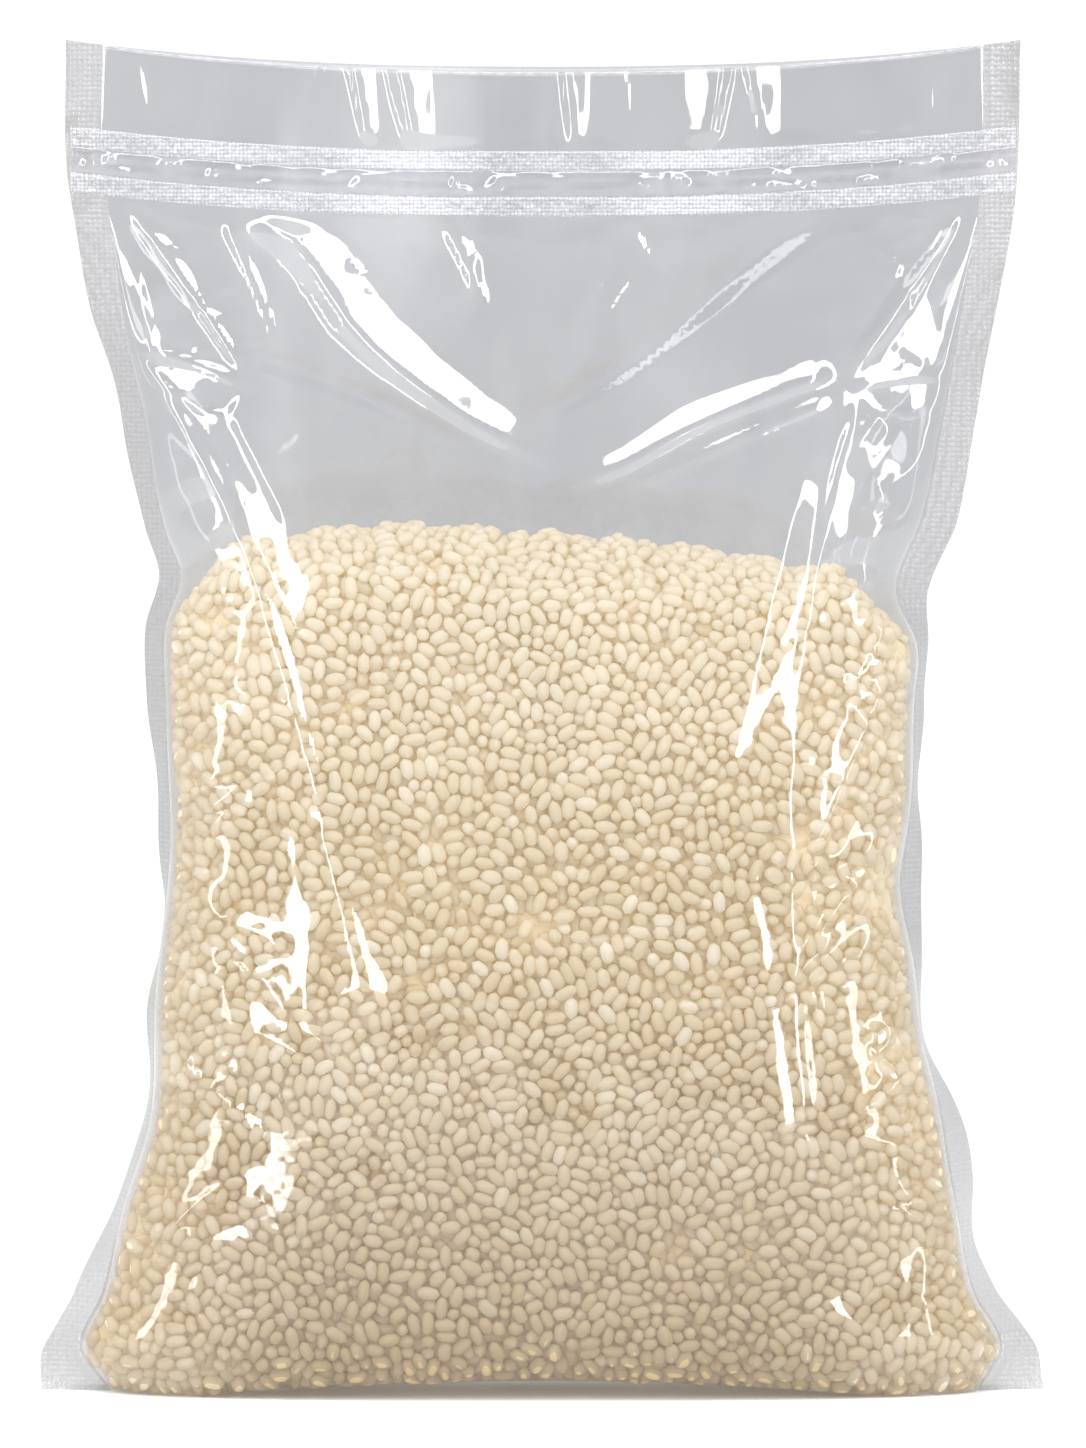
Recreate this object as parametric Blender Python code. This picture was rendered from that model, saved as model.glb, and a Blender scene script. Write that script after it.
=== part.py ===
"""A clear zip pouch filled with about one kilogram of short-grain rice, standing on its base.

Frame: metres, +Z up, the pouch's front faces -Y, origin on the floor under the middle of the base.
Four solids:
  rice       the filled lower body, out to the film that wraps it, with its feet and its domed top
  pouch      the film above the rice up to the open lips, with the two welded side seals, which run
             down both sides of the rice to the base corners
  zip_front  the press-to-close strip welded to the front film
  zip_back   the same on the back film

Everything is lofted from one description of the filled pouch: seam lines seen from the front, depth
of the filling by height, and the sheet folds that a slack film makes above its filling.
"""
import math

import bmesh
import bpy
import numpy as np

# ---- driving dimensions, in metres -------------------------------------------------------------
HEIGHT = 0.280           # floor to the top corners
SEAL_WIDTH = 0.0075      # welded strip down each side
MAX_HALF_DEPTH = 0.0290  # half the thickness of the filled body, low down
FOOT_HALF_DEPTH = 0.0165  # half the depth of the flat that it stands on
FOOT_ROUNDING = 0.0155   # height over which the body rolls under to that flat
FOOT_START = 0.78        # share of the half width from which the base lies flat on the floor
BASE_ARCH = 0.0038       # how far the base is lifted at its middle, between its two feet
EAR_REACH = 0.0070       # how much wider a side seal is at the floor, where it ends in a dog-ear
EAR_HEIGHT = 0.0130      # height over which it widens
FILM_HALF = 0.0006       # half the thickness that stands for two films lying together
SEAL_HALF = 0.0005       # the same at the welded seals
GAP = 0.0003             # clearance between neighbouring solids
TOP_SAG = 0.0054         # how far the lips hang below the top corners at the middle
ZIP_SAG = 0.0052         # the same for the zip
ZIP_END_HEIGHT = 0.2558  # middle of the zip at its ends
ZIP_HALF = 0.0067        # half the height of a zip strip
ZIP_EASING = 0.0180      # height below the zip over which the folds of the film fade in
ZIP_BAND = 0.0040        # height of each weld band on a zip strip
DOME_RISE = 0.0130       # how far the rice's crest stands above where it meets the film, at its middle
EDGE_RISE = 0.0003       # the same at the seams
SEAL_OVERLAP = 0.0015    # how far a seal runs into the film body that it joins
SEAL_EASING = 0.0050     # height over which a seal closes from the rice's clearance to the film
SEAL_LOWER = 0.0002      # how far a seal's end stays below the lips

# Seam lines, where front and back film part: (height, distance from the middle).
LEFT_SEAM = (
    (0.0000, 0.0898), (0.0075, 0.0961), (0.0205, 0.0917), (0.0383, 0.0872), (0.0560, 0.0817),
    (0.0812, 0.0805), (0.1120, 0.0774), (0.1437, 0.0784), (0.1587, 0.0784), (0.1699, 0.0753),
    (0.1783, 0.0782), (0.2044, 0.0829), (0.2184, 0.0859), (0.2408, 0.0890), (0.2520, 0.0907),
    (0.2800, 0.0911),
)
RIGHT_SEAM = (
    (0.0000, 0.0903), (0.0084, 0.0956), (0.0205, 0.0898), (0.0429, 0.0853), (0.0611, 0.0820),
    (0.0700, 0.0795), (0.0887, 0.0770), (0.1055, 0.0744), (0.1185, 0.0760), (0.1437, 0.0770),
    (0.1549, 0.0776), (0.1661, 0.0737), (0.1811, 0.0789), (0.2025, 0.0830), (0.2231, 0.0863),
    (0.2473, 0.0901), (0.2800, 0.0911),
)
# How far each seal is turned back out of the front plane, in degrees, by height.
LEFT_TURN = (
    (0.0000, 8), (0.0093, 30), (0.0205, 36), (0.0383, 74), (0.0560, 80), (0.0989, 80), (0.1120, 76),
    (0.1437, 62), (0.1699, 50), (0.2016, 56), (0.2268, 24), (0.2445, 0), (0.2800, 0),
)
RIGHT_TURN = (
    (0.0000, 8), (0.0093, 30), (0.0205, 58), (0.0280, 70), (0.0448, 54), (0.0616, 68), (0.0728, 80),
    (0.1055, 62), (0.1307, 76), (0.1549, 62), (0.1680, 34), (0.2025, 24), (0.2240, 16), (0.2445, 0),
    (0.2800, 0),
)
# Half the depth of the filled pouch at its middle, by height.
HALF_DEPTH = (
    (0.000, 0.0252), (0.020, 0.0277), (0.050, MAX_HALF_DEPTH), (0.085, 0.0287), (0.115, 0.0270),
    (0.145, 0.0238), (0.175, 0.0190), (0.200, 0.0132), (0.218, 0.0078), (0.233, 0.0032),
    (0.243, 0.0010), (0.262, 0.0008), (0.280, 0.0016),
)
# Crest of the rice: (place across the pouch, height).
CREST = (
    (-0.0793, 0.1577), (-0.0733, 0.1691), (-0.0505, 0.1785), (-0.0359, 0.1802), (0.0000, 0.1788),
    (0.0324, 0.1757), (0.0531, 0.1722), (0.0718, 0.1658), (0.0775, 0.1559),
)
# Folds of the film: name, face, route of (x, height), half width, and how far it stands out.
FOLDS = (
    ("left_shoulder", -1, ((-0.0840, 0.2184), (-0.0616, 0.1932), (-0.0504, 0.1521), (-0.0364, 0.1045)),
     0.0060, 0.0020),
    ("right_shoulder", -1, ((0.0821, 0.2091), (0.0625, 0.1792), (0.0541, 0.1456)), 0.0060, 0.0022),
    ("dart_left", -1, ((-0.0485, 0.2445), (-0.0243, 0.2147), (0.0037, 0.1951)), 0.0055, 0.0022),
    ("dart_right", -1, ((0.0569, 0.2100), (0.0336, 0.1997), (0.0093, 0.1913)), 0.0050, 0.0020),
    ("dart_throat", -1, ((0.0037, 0.2427), (0.0065, 0.2203), (0.0056, 0.1960)), 0.0080, -0.0026),
    ("left_pocket", -1, ((-0.0765, 0.2389), (-0.0719, 0.2240), (-0.0691, 0.2109)), 0.0090, -0.0030),
    ("right_pocket", -1, ((0.0803, 0.2352), (0.0756, 0.2240), (0.0728, 0.2147)), 0.0085, -0.0028),
    ("back_diagonal", 1, ((0.0485, 0.2408), (0.0187, 0.2109), (-0.0112, 0.1867)), 0.0065, 0.0022),
    ("back_left", 1, ((-0.0803, 0.2240), (-0.0616, 0.1913), (-0.0523, 0.1400)), 0.0065, 0.0022),
    ("back_right", 1, ((0.0821, 0.2203), (0.0653, 0.1867), (0.0560, 0.1493)), 0.0065, 0.0020),
    ("back_hollow", 1, ((-0.0280, 0.2408), (-0.0243, 0.2203), (-0.0261, 0.1997)), 0.0085, -0.0026),
)

COLUMNS = 42        # across the pouch
RICE_ROWS = 11      # up the side of the rice
FOOT_ROWS = 5       # where it rolls under to its foot
FILM_ROWS = 19      # up the film above it
DOME_STEPS = 6      # over the top of the rice, front to back
SEAL_ROWS = 60      # down each seal
ZIP_COLUMNS = 20    # along each zip strip


# ---- the filled pouch as functions -------------------------------------------------------------
def through(keys, at):
    """A smooth curve through (place, value) keys, as a Hermite spline, held level beyond its ends."""
    place, value = np.array(keys, float).T
    slope = np.gradient(value, place)
    at = np.clip(np.asarray(at, float), place[0], place[-1])
    i = np.clip(np.searchsorted(place, at) - 1, 0, len(place) - 2)
    step = place[i + 1] - place[i]
    t = (at - place[i]) / step
    a, b = value[i], value[i + 1]
    return (
        a * (1 + 2 * t) * (1 - t) ** 2 + b * t * t * (3 - 2 * t)
        + step * (slope[i] * t * (1 - t) ** 2 - slope[i + 1] * t * t * (1 - t))
    )


def seam_x(side, z):
    """Where the seam of one side (-1 left, 1 right) is, seen from the front."""
    return side * through(LEFT_SEAM if side < 0 else RIGHT_SEAM, z)


def across(u, z):
    """x of the point a share u (-1 to 1) of the way across the pouch, at height z."""
    left, right = seam_x(-1, z), seam_x(1, z)
    return (left + right) / 2 + u * (right - left) / 2


def section(u):
    """Depth across the pouch as a share of the depth at its middle: flat-faced, with a sharp seam."""
    return np.sqrt(np.clip(1 - np.abs(u) ** 3, 0, 1))


def rolled_under(z, u):
    """Share of the full depth that is left at height z, where the body rolls under to its foot."""
    foot = FOOT_HALF_DEPTH / HALF_DEPTH[0][1]
    t = np.clip(1 - np.asarray(z, float) / FOOT_ROUNDING, 0, 1)
    return foot + (1 - foot) * np.sqrt(1 - t * t)


def fold_relief(face, x, z):
    """How far the folds of one face (-1 front, 1 back) stand out at x and z."""
    out = np.zeros(np.broadcast(x, z).shape)
    for _, fold_face, route, width, height in FOLDS:
        if fold_face != face:
            continue
        near, along = np.full(out.shape, np.inf), np.zeros(out.shape)
        pieces = len(route) - 1
        for k, ((ax, az), (bx, bz)) in enumerate(zip(route, route[1:])):
            dx, dz = bx - ax, bz - az
            t = np.clip(((x - ax) * dx + (z - az) * dz) / (dx * dx + dz * dz), 0, 1)
            d = np.hypot(x - ax - t * dx, z - az - t * dz)
            along = np.where(d < near, (k + t) / pieces, along)
            near = np.minimum(near, d)
        out = out + height * np.sin(math.pi * (0.1 + 0.8 * along)) * np.exp(-near / width)
    return out


def half_depth(face, u, z):
    """Half thickness of the pouch on one face at share u across and height z."""
    x = across(u, z)
    bulge = through(HALF_DEPTH, z) * section(u) * rolled_under(z, u)
    loose = fold_relief(face, x, z) * section(u) * np.clip((ZIP_END_HEIGHT - ZIP_SAG - ZIP_HALF - z) / ZIP_EASING, 0, 1)
    return np.maximum(bulge + loose, FILM_HALF)


def sagging(end_height, sag, x):
    """Height of a line that is level at the sides of the pouch and hangs by sag at its middle."""
    share = np.clip(np.abs(x) / (across(1.0, HEIGHT) + SEAL_WIDTH), 0, 1)
    return end_height - sag * (1 - share ** 2.4)


def crest(u):
    """Height of the rice's crest, with the unevenness of a poured heap."""
    x = across(u, CREST[3][1])
    return through(CREST, x) + 0.0005 * np.sin(410 * x + 1) + 0.0004 * np.sin(910 * x)


def dome_rise(u):
    """How far the rice's crest stands above where the rice meets the film."""
    return EDGE_RISE + (DOME_RISE - EDGE_RISE) * np.clip(1 - np.abs(u) ** 2, 0, 1) ** 0.75


def contact(u):
    """Height at which the rice meets the film."""
    return crest(u) - dome_rise(u)


# ---- meshes ------------------------------------------------------------------------------------
def finished(name, mesh, colour, roughness, alpha=1.0):
    """An object of this mesh with its own material."""
    mesh.shade_smooth()
    mesh.set_sharp_from_angle(angle=math.radians(50))
    material = bpy.data.materials.new(name)
    material.use_nodes = True
    shader = material.node_tree.nodes["Principled BSDF"]
    shader.inputs["Base Color"].default_value = (*colour, 1)
    shader.inputs["Roughness"].default_value = roughness
    shader.inputs["Metallic"].default_value = 0
    shader.inputs["Alpha"].default_value = alpha
    mesh.materials.append(material)
    obj = bpy.data.objects.new(name, mesh)
    bpy.context.scene.collection.objects.link(obj)
    return obj


def loft(name, loops):
    """A closed mesh through equal loops of points, its ends closed by strips across each end loop.

    The first half of a loop is one face of the shape and the second half returns along the other.
    """
    bm = bmesh.new()
    rings = [[bm.verts.new(point) for point in loop] for loop in loops]
    count = len(rings[0])
    for ring, after in zip(rings, rings[1:]):
        for k in range(count):
            n = (k + 1) % count
            bm.faces.new((ring[k], ring[n], after[n], after[k]))
    for ring in (rings[0], rings[-1]):
        for k in range(count // 2 - 1):
            bm.faces.new((ring[k], ring[k + 1], ring[count - 2 - k], ring[count - 1 - k]))
    bmesh.ops.recalc_face_normals(bm, faces=bm.faces)
    mesh = bpy.data.meshes.new(name)
    bm.to_mesh(mesh)
    bm.free()
    return mesh


def base_height(u):
    """Height of the base at share u across: two flat feet with a shallow arch between them."""
    return BASE_ARCH * np.clip(1 - (np.abs(u) / FOOT_START) ** 2, 0, 1)


def rice_heights(u):
    """Heights of the rice's rows of points at share u across: close together where it rolls under."""
    low = FOOT_ROUNDING * (1 - np.cos(np.linspace(0, math.pi / 2, FOOT_ROWS)))
    return np.concatenate([low[:-1], np.linspace(FOOT_ROUNDING, contact(u), RICE_ROWS)])


def rice_mesh():
    """The filled body: foot, faces and domed top, lofted from seam to seam."""
    loops = []
    for u in np.sin(np.linspace(-math.pi / 2, math.pi / 2, COLUMNS + 1)):
        top = contact(u)
        z = rice_heights(u)
        lifted = z + base_height(u) * np.clip(1 - z / (3 * FOOT_ROUNDING), 0, 1)
        front = [(across(u, h), -half_depth(-1, u, h), up) for h, up in zip(z, lifted)]
        back = [(across(u, h), half_depth(1, u, h), up) for h, up in zip(z, lifted)]
        dome = []
        for t in np.linspace(0, 1, DOME_STEPS + 1)[1:-1]:
            y = front[-1][1] * (1 - t) + back[-1][1] * t
            up = top + dome_rise(u) * math.sin(math.pi * t) ** 0.8
            dome.append((across(u, up), y, up))
        half = len(dome) // 2
        loops.append(front + dome[:half + 1] + dome[half + 1:] + back[::-1])
    return loft("rice", even(loops))


def even(loops):
    """The loops with the middle point of each turn dropped, so that both halves hold as many."""
    if len(loops[0]) % 2 == 0:
        return loops
    return [loop[: len(loop) // 2] + loop[len(loop) // 2 + 1:] for loop in loops]


def film_mesh():
    """The film above the rice, closed below by the rice's own dome and above by the lips."""
    loops = []
    for u in np.sin(np.linspace(-math.pi / 2, math.pi / 2, COLUMNS + 1)):
        start = contact(u) + 3 * GAP
        low, high = start, float(sagging(HEIGHT, TOP_SAG, across(u, HEIGHT)))
        z = low + (high - low) * np.linspace(0, 1, FILM_ROWS)
        front = [(across(u, h), -half_depth(-1, u, h), h) for h in z]
        back = [(across(u, h), half_depth(1, u, h), h) for h in z]
        dome = []
        for t in np.linspace(0, 1, DOME_STEPS + 1)[1:-1]:
            y = front[0][1] * (1 - t) + back[0][1] * t
            up = start + dome_rise(u) * math.sin(math.pi * t) ** 0.8
            dome.append((across(u, up), y, up))
        loops.append(front[::-1] + dome + back)
    return loft("pouch", even(loops))


def seal_mesh(side):
    """One welded side seal: a thin strip from the base corner to the lips, turned out of plane."""
    loops = []
    turns = LEFT_TURN if side < 0 else RIGHT_TURN
    clear_of_rice = float(crest(0.96 * side)) + 4 * GAP
    rows = rice_heights(side)
    for z in HEIGHT * np.linspace(0, 1, SEAL_ROWS) ** 1.2:
        turn = math.radians(float(through(turns, z)))
        seam = float(seam_x(side, z)) if z > rows[-1] else np.interp(z, rows, seam_x(side, rows))
        share = min(max((z - clear_of_rice) / SEAL_EASING, 0), 1)
        apart = 3 * GAP + SEAL_HALF * math.sin(turn)
        offset = apart * (1 - share) - SEAL_OVERLAP * share
        reach = SEAL_WIDTH - offset + EAR_REACH * max(1 - z / EAR_HEIGHT, 0) ** 1.5
        along = np.array([side * math.cos(turn), math.sin(turn)])
        normal = np.array([-along[1], along[0]])
        points = []
        for t, face in ((0, -1), (0.5, -1), (1, -1), (1, 1), (0.5, 1), (0, 1)):
            flat = np.array([seam + side * offset, 0.0]) + along * t * reach
            flat = flat + normal * face * SEAL_HALF
            top = float(sagging(HEIGHT, TOP_SAG, flat[0])) - SEAL_LOWER
            points.append((flat[0], flat[1], z * top / HEIGHT))
        loops.append(points)
    return loft("seal", loops)


def joined(name, base, others):
    """One mesh from a base mesh and others that overlap it, by Boolean union."""
    body = bpy.data.objects.new(name, base)
    bpy.context.scene.collection.objects.link(body)
    helpers = []
    for other in others:
        helper = bpy.data.objects.new(name + "_join", other)
        bpy.context.scene.collection.objects.link(helper)
        union = body.modifiers.new("union", "BOOLEAN")
        union.operation, union.object = "UNION", helper
        helpers.append(helper)
    graph = bpy.context.evaluated_depsgraph_get()
    mesh = bpy.data.meshes.new_from_object(body.evaluated_get(graph))
    for obj in (body, *helpers):
        bpy.data.objects.remove(obj)
    return mesh


def zip_mesh(face):
    """One zip strip: two raised weld bands with the closing rib between them."""
    ends = float(seam_x(1, ZIP_END_HEIGHT)) + SEAL_WIDTH - 0.0004
    inner = FILM_HALF + 0.0006 + GAP
    relief = (
        (-ZIP_HALF, 0.0003), (-ZIP_HALF, 0.0008), (-ZIP_HALF + ZIP_BAND, 0.0008),
        (-ZIP_HALF + ZIP_BAND, 0.0004), (-0.0010, 0.0004), (-0.0006, 0.0010), (0.0006, 0.0010),
        (0.0010, 0.0004), (ZIP_HALF - ZIP_BAND, 0.0004), (ZIP_HALF - ZIP_BAND, 0.0008),
        (ZIP_HALF, 0.0008), (ZIP_HALF, 0.0003),
    )
    loops = []
    for x in np.linspace(-ends, ends, ZIP_COLUMNS + 1):
        middle = float(sagging(ZIP_END_HEIGHT, ZIP_SAG, x))
        outer = [(x, face * (inner + out), middle + up) for up, out in relief]
        flat = [(x, face * inner, middle + up) for up, _ in relief]
        loops.append(outer + flat[::-1])
    return loft("zip", loops)


def main():
    for obj in list(bpy.data.objects):
        bpy.data.objects.remove(obj)
    cream, clear, strip = (0.78, 0.66, 0.46), (0.80, 0.82, 0.85), (0.90, 0.91, 0.93)
    finished("rice", rice_mesh(), cream, 0.5)
    pouch = joined("pouch", film_mesh(), [seal_mesh(-1), seal_mesh(1)])
    finished("pouch", pouch, clear, 0.08, alpha=0.35)
    finished("zip_front", zip_mesh(-1), strip, 0.3)
    finished("zip_back", zip_mesh(1), strip, 0.3)


main()
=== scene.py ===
"""The looks of a clear zip pouch of short-grain rice that stands on its base.

The film, its welded seals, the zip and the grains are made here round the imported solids. Lengths
are in metres unless a table says millimetres. The pouch's front faces -Y.
"""

import math

import bpy
import numpy as np
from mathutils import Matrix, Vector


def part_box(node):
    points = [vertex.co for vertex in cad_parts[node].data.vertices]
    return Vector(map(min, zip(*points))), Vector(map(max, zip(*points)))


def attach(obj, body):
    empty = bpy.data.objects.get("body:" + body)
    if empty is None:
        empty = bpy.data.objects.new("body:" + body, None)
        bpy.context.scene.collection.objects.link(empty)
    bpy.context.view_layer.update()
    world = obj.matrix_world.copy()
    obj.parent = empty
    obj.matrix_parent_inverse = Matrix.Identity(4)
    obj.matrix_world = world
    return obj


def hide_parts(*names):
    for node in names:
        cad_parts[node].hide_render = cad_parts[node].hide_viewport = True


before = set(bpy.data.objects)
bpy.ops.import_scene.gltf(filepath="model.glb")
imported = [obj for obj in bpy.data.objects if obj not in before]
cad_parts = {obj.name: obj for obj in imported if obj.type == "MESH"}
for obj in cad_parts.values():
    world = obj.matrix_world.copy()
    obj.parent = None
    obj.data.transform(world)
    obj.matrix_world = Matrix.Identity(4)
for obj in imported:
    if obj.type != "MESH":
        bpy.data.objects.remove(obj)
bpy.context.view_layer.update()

MM = 0.001
SEED = 20

# ---- the filled pouch, as the solids have it ---------------------------------------------------
RICE_LOW, RICE_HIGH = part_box("rice")
POUCH_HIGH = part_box("pouch")[1]
ZIP_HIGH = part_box("zip_front")[1]
HEIGHT = POUCH_HIGH.z + 0.0002        # the film just covers the solid's lip
SEAL_WIDTH = 0.0075
BELLY_POWER = 3                       # how square the pouch is, seen from above
FOOT_HALF_DEPTH = 0.0165
FOOT_ROUNDING = 0.0155
FOOT_START = 0.78
BASE_ARCH = 0.0038
EAR_REACH = 0.0070
EAR_HEIGHT = 0.0130
TOP_SAG = 0.0054
SAG_POWER = 2.4                       # how flat the sagging mouth is at its middle
DOME_RISE = 0.0130
EDGE_RISE = 0.0003
ZIP_HALF = 0.0067
ZIP_MIDDLE = ZIP_HIGH.z - ZIP_HALF
ZIP_TOP, ZIP_BOTTOM = ZIP_MIDDLE + ZIP_HALF, ZIP_MIDDLE - ZIP_HALF
ZIP_BAND = 0.0040
ZIP_PINCHES = 90
HANG_START, HANG_END = 0.185, 0.250   # heights between which the mouth's sag comes in
BEND_START, BEND_END = 0.215, 0.258   # the same for its bend in depth
CREST_ROUNDING = 0.35                 # how round a crease's crest is, in millimetres
FRONT_LIP_DROP = 0.0012               # how much lower the front lip hangs at its middle
LIP_BEAD = 0.0008                     # height of the thicker cut edge of each lip

# Seam lines, where front and back film part: (height, distance from the middle).
LEFT_SEAM = (
    (0.0000, 0.0898), (0.0075, 0.0961), (0.0205, 0.0917), (0.0383, 0.0872), (0.0560, 0.0817),
    (0.0812, 0.0805), (0.1120, 0.0774), (0.1437, 0.0784), (0.1587, 0.0784), (0.1699, 0.0753),
    (0.1783, 0.0782), (0.2044, 0.0829), (0.2184, 0.0859), (0.2408, 0.0890), (0.2520, 0.0907),
    (0.2800, 0.0911),
)
RIGHT_SEAM = (
    (0.0000, 0.0903), (0.0084, 0.0956), (0.0205, 0.0898), (0.0429, 0.0853), (0.0611, 0.0820),
    (0.0700, 0.0795), (0.0887, 0.0770), (0.1055, 0.0744), (0.1185, 0.0760), (0.1437, 0.0770),
    (0.1549, 0.0776), (0.1661, 0.0737), (0.1811, 0.0789), (0.2025, 0.0830), (0.2231, 0.0863),
    (0.2473, 0.0901), (0.2800, 0.0911),
)
# How far each seal is turned back out of the front plane, in degrees, by height.
LEFT_TURN = (
    (0.0000, 8), (0.0093, 30), (0.0205, 36), (0.0383, 74), (0.0560, 80), (0.0989, 80), (0.1120, 76),
    (0.1437, 62), (0.1699, 50), (0.2016, 56), (0.2268, 24), (0.2445, 0), (0.2800, 0),
)
RIGHT_TURN = (
    (0.0000, 8), (0.0093, 30), (0.0205, 58), (0.0280, 70), (0.0448, 54), (0.0616, 68), (0.0728, 80),
    (0.1055, 62), (0.1307, 76), (0.1549, 62), (0.1680, 34), (0.2025, 24), (0.2240, 16), (0.2445, 0),
    (0.2800, 0),
)
# Half the depth of the filled pouch at its middle, by height.
HALF_DEPTH = (
    (0.000, 0.0252), (0.020, 0.0277), (0.050, 0.0290), (0.085, 0.0287), (0.115, 0.0270),
    (0.145, 0.0238), (0.175, 0.0190), (0.200, 0.0132), (0.218, 0.0078), (0.233, 0.0032),
    (0.243, 0.0010), (0.262, 0.0008), (0.280, 0.0016),
)
# Crest of the rice: (place across the pouch, height).
CREST = (
    (-0.0793, 0.1577), (-0.0733, 0.1691), (-0.0505, 0.1785), (-0.0359, 0.1802), (0.0000, 0.1788),
    (0.0324, 0.1757), (0.0531, 0.1722), (0.0718, 0.1658), (0.0775, 0.1559),
)

CREST_LEVEL = 0.1802                  # height at which places across the crest are measured

# ---- creases of the film, in millimetres -------------------------------------------------------
# Each: route of (x, z), height of the ridge at its start and end, and the slopes in degrees of its
# left and right flank (seen along the route). A negative height is a valley. Two slopes in brackets
# are those at the route's start and at its end.
FRONT_CREASES = (
    # the vee where the slack film folds over onto the full body
    (((-62, 247), (-50, 237), (-40, 222), (-18, 204), (3, 192)), 3.6, 1.6, 19, 34),
    (((61, 212), (32, 201), (13, 191), (3, 188)), 1.5, 1.3, 34, 18),
    (((60, 206), (34, 195), (16, 187)), 0.8, 0.5, 34, 18),
    # long folds that hang from the zip
    (((-23, 248), (-17, 236), (-11, 222)), 1.7, 0.5, 16, 38),
    (((18, 247), (22, 238), (26, 231)), 1.4, 0.3, 16, 36),
    (((-10, 247), (-5, 225), (1, 202)), 0.9, 0.4, 6, 9),
    (((13, 247), (9, 225), (5, 204)), 0.9, 0.4, 9, 6),
    (((36, 247), (28, 226), (14, 206)), 0.7, 0.3, 7, 9),
    # the open flap above the zip
    (((-48, 287), (-45, 262)), 0.9, 0.3, 16, 36),
    (((-41, 287), (-35, 253)), 2.5, 0.6, 18, 40),
    (((-32, 287), (-25, 253)), 3.2, 1.5, 21, 34),
    (((0, 287), (1, 254)), 0.7, 0.4, 16, 36),
    (((4, 287), (7, 253)), 2.2, 0.9, 18, 36),
    (((18, 285), (20, 256)), 0.9, 0.3, 36, 16),
    (((38, 287), (33, 252)), 2.8, 1.4, 34, 16),
    (((40, 287), (47, 254)), 1.8, 0.6, 11, 38),
    (((-84, 287), (-80, 262)), 0.9, 0.5, 9, 20),
    (((78, 287), (80, 262)), 0.8, 0.5, 20, 9),
    # left: folds from the zip's end and from the pinch in the seal
    (((-90, 251), (-78, 236), (-60, 209)), 1.2, 0.9, 19, 38),
    (((-86, 244), (-74, 228), (-62, 212)), 0.6, 0.6, 19, 36),
    (((-66, 243), (-60, 230), (-54, 215)), 0.9, 0.4, 17, 36),
    (((-86, 217), (-74, 214), (-61, 209)), 1.1, 0.8, 36, 30),
    (((-85, 215), (-74, 206), (-64, 203), (-61, 208)), 0.7, 0.7, 34, 34),
    (((-84, 213), (-77, 204), (-69, 191), (-61, 173), (-53, 150), (-47, 129), (-42, 113)),
     1.7, 2.1, (33, 29), 9),
    (((-46, 121), (-42, 107), (-38, 92), (-34, 78)), 1.0, 3.0, (27, 22), 12),
    (((-64, 204), (-57, 190), (-51, 178)), 0.7, 0.5, 26, 20),
    # right: the same, from the zip's end and from the pinch
    (((90, 251), (78, 232), (63, 210)), 1.1, 0.9, 38, 19),
    (((86, 243), (76, 226), (66, 212)), 0.6, 0.6, 36, 19),
    (((88, 210), (76, 211), (63, 208)), 1.1, 0.8, 30, 36),
    (((86, 206), (74, 203), (66, 207)), 0.7, 0.6, 34, 34),
    (((66, 206), (61, 192), (57, 174), (52, 146)), 1.2, 0.7, (10, 5), 30),
    (((54, 192), (49, 174), (43, 150), (36, 124)), 0.7, 0.7, (6, 10), 24),
    (((52, 142), (51, 126), (51, 108), (52, 88), (54, 62), (56, 38)), 1.5, 0.1, 11, 10),
    (((68, 142), (62, 126), (57, 108)), 0.9, 0.6, 12, (9, 2)),
    (((77, 153), (67, 150), (57, 145)), 1.7, 0.8, 34, 28),
    (((70, 146), (62, 128), (53, 108)), 1.1, 0.8, 30, 9),
    (((73, 117), (63, 111), (53, 107)), 1.7, 0.7, 34, 27),
    (((74, 101), (67, 94), (59, 84)), 1.5, 0.6, 32, 17),
    (((46, 82), (53, 89), (61, 97)), 0.7, 0.8, 10, 30),
    (((56, 86), (57, 81), (60, 76)), 0.6, 0.3, 20, 30),
    (((78, 79), (68, 71), (60, 65)), 1.6, 0.5, 34, 24),
    (((76, 67), (66, 61), (57, 57)), 1.4, 0.5, 34, 27),
    # lower left: short darts
    (((-78, 106), (-64, 99), (-50, 92)), 1.9, 1.0, 14, 30),
    (((-68, 98), (-58, 87), (-51, 77)), 1.1, 0.6, 6, 30),
    (((-70, 79), (-57, 75), (-44, 68)), 1.4, 0.7, 10, 32),
    (((-76, 70), (-66, 62), (-57, 53)), 1.4, 0.6, 16, 32),
)
BACK_CREASES = (
    (((60, 248), (40, 232), (16, 212), (-8, 198)), 3.0, 1.2, 30, 23),
    (((-62, 216), (-36, 206), (-12, 194)), 1.4, 1.0, 24, 24),
    (((-30, 248), (-24, 234), (-18, 220)), 1.2, 0.5, 18, 24),
    (((24, 247), (22, 236), (18, 222)), 1.0, 0.4, 24, 18),
    (((90, 250), (76, 234), (60, 212)), 1.3, 1.0, 22, 22),
    (((86, 216), (72, 204), (62, 178), (54, 140), (46, 106)), 1.3, 0.8, 18, 24),
    (((-90, 250), (-76, 232), (-62, 210)), 1.3, 1.0, 22, 22),
    (((-87, 212), (-72, 198), (-62, 170), (-52, 134)), 1.3, 0.8, 24, 18),
    (((-80, 120), (-66, 112), (-54, 104)), 1.0, 0.4, 24, 24),
    (((78, 92), (64, 86), (52, 76)), 1.0, 0.4, 24, 24),
)
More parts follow.
